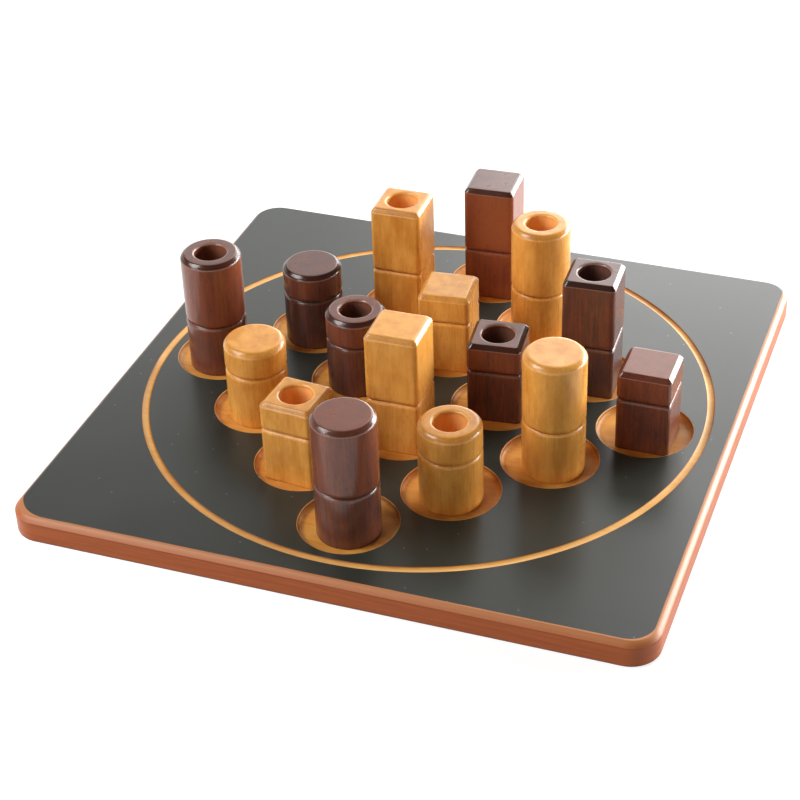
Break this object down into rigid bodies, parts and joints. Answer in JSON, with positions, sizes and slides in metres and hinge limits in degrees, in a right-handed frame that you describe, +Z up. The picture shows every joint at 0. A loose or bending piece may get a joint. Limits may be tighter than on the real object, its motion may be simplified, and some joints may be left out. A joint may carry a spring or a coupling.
{
  "type": "board game",
  "caption": "Square wooden game board with round recesses inside a ring groove, set with tall and short, round and square, dark and light, solid and hollow pieces that lift out.",
  "frame": {"origin": "middle of the board's underside, on the surface that the board rests on", "axes": "+Z up through the board; X and Y along the board's straight sides; -Y is the side nearest the viewer in the picture"},
  "size_m": [0.27, 0.27, 0.0652],
  "materials": {
    "board_wood": "semi-gloss dark lacquer",
    "dark_wood": "dark stain under satin varnish",
    "light_wood": "honey-coloured satin varnish"
  },
  "bodies": {
    "board": {"board": "board_wood"},
    "dark_tall_round_hollow": {"dark_tall_round_hollow": "dark_wood"},
    "dark_short_round_solid": {"dark_short_round_solid": "dark_wood"},
    "light_tall_square_hollow": {"light_tall_square_hollow": "light_wood"},
    "dark_tall_square_solid": {"dark_tall_square_solid": "dark_wood"},
    "light_short_round_solid": {"light_short_round_solid": "light_wood"},
    "dark_short_round_hollow": {"dark_short_round_hollow": "dark_wood"},
    "light_short_square_solid": {"light_short_square_solid": "light_wood"},
    "light_tall_round_hollow": {"light_tall_round_hollow": "light_wood"},
    "light_short_square_hollow": {"light_short_square_hollow": "light_wood"},
    "light_tall_square_solid": {"light_tall_square_solid": "light_wood"},
    "dark_short_square_hollow": {"dark_short_square_hollow": "dark_wood"},
    "dark_tall_square_hollow": {"dark_tall_square_hollow": "dark_wood"},
    "dark_tall_round_solid": {"dark_tall_round_solid": "dark_wood"},
    "light_short_round_hollow": {"light_short_round_hollow": "light_wood"},
    "light_tall_round_solid": {"light_tall_round_solid": "light_wood"},
    "dark_short_square_solid": {"dark_short_square_solid": "dark_wood"}
  },
  "joints": [
    {"name": "lift_dark_tall_round_hollow", "type": "slide", "parent": "board", "child": "dark_tall_round_hollow", "axis": [0, 0, 1], "range_m": [0, 0.06]},
    {"name": "lift_dark_short_round_solid", "type": "slide", "parent": "board", "child": "dark_short_round_solid", "axis": [0, 0, 1], "range_m": [0, 0.06]},
    {"name": "lift_light_tall_square_hollow", "type": "slide", "parent": "board", "child": "light_tall_square_hollow", "axis": [0, 0, 1], "range_m": [0, 0.06]},
    {"name": "lift_dark_tall_square_solid", "type": "slide", "parent": "board", "child": "dark_tall_square_solid", "axis": [0, 0, 1], "range_m": [0, 0.06]},
    {"name": "lift_light_short_round_solid", "type": "slide", "parent": "board", "child": "light_short_round_solid", "axis": [0, 0, 1], "range_m": [0, 0.06]},
    {"name": "lift_dark_short_round_hollow", "type": "slide", "parent": "board", "child": "dark_short_round_hollow", "axis": [0, 0, 1], "range_m": [0, 0.06]},
    {"name": "lift_light_short_square_solid", "type": "slide", "parent": "board", "child": "light_short_square_solid", "axis": [0, 0, 1], "range_m": [0, 0.06]},
    {"name": "lift_light_tall_round_hollow", "type": "slide", "parent": "board", "child": "light_tall_round_hollow", "axis": [0, 0, 1], "range_m": [0, 0.06]},
    {"name": "lift_light_short_square_hollow", "type": "slide", "parent": "board", "child": "light_short_square_hollow", "axis": [0, 0, 1], "range_m": [0, 0.06]},
    {"name": "lift_light_tall_square_solid", "type": "slide", "parent": "board", "child": "light_tall_square_solid", "axis": [0, 0, 1], "range_m": [0, 0.06]},
    {"name": "lift_dark_short_square_hollow", "type": "slide", "parent": "board", "child": "dark_short_square_hollow", "axis": [0, 0, 1], "range_m": [0, 0.06]},
    {"name": "lift_dark_tall_square_hollow", "type": "slide", "parent": "board", "child": "dark_tall_square_hollow", "axis": [0, 0, 1], "range_m": [0, 0.06]},
    {"name": "lift_dark_tall_round_solid", "type": "slide", "parent": "board", "child": "dark_tall_round_solid", "axis": [0, 0, 1], "range_m": [0, 0.06]},
    {"name": "lift_light_short_round_hollow", "type": "slide", "parent": "board", "child": "light_short_round_hollow", "axis": [0, 0, 1], "range_m": [0, 0.06]},
    {"name": "lift_light_tall_round_solid", "type": "slide", "parent": "board", "child": "light_tall_round_solid", "axis": [0, 0, 1], "range_m": [0, 0.06]},
    {"name": "lift_dark_short_square_solid", "type": "slide", "parent": "board", "child": "dark_short_square_solid", "axis": [0, 0, 1], "range_m": [0, 0.06]}
  ]
}
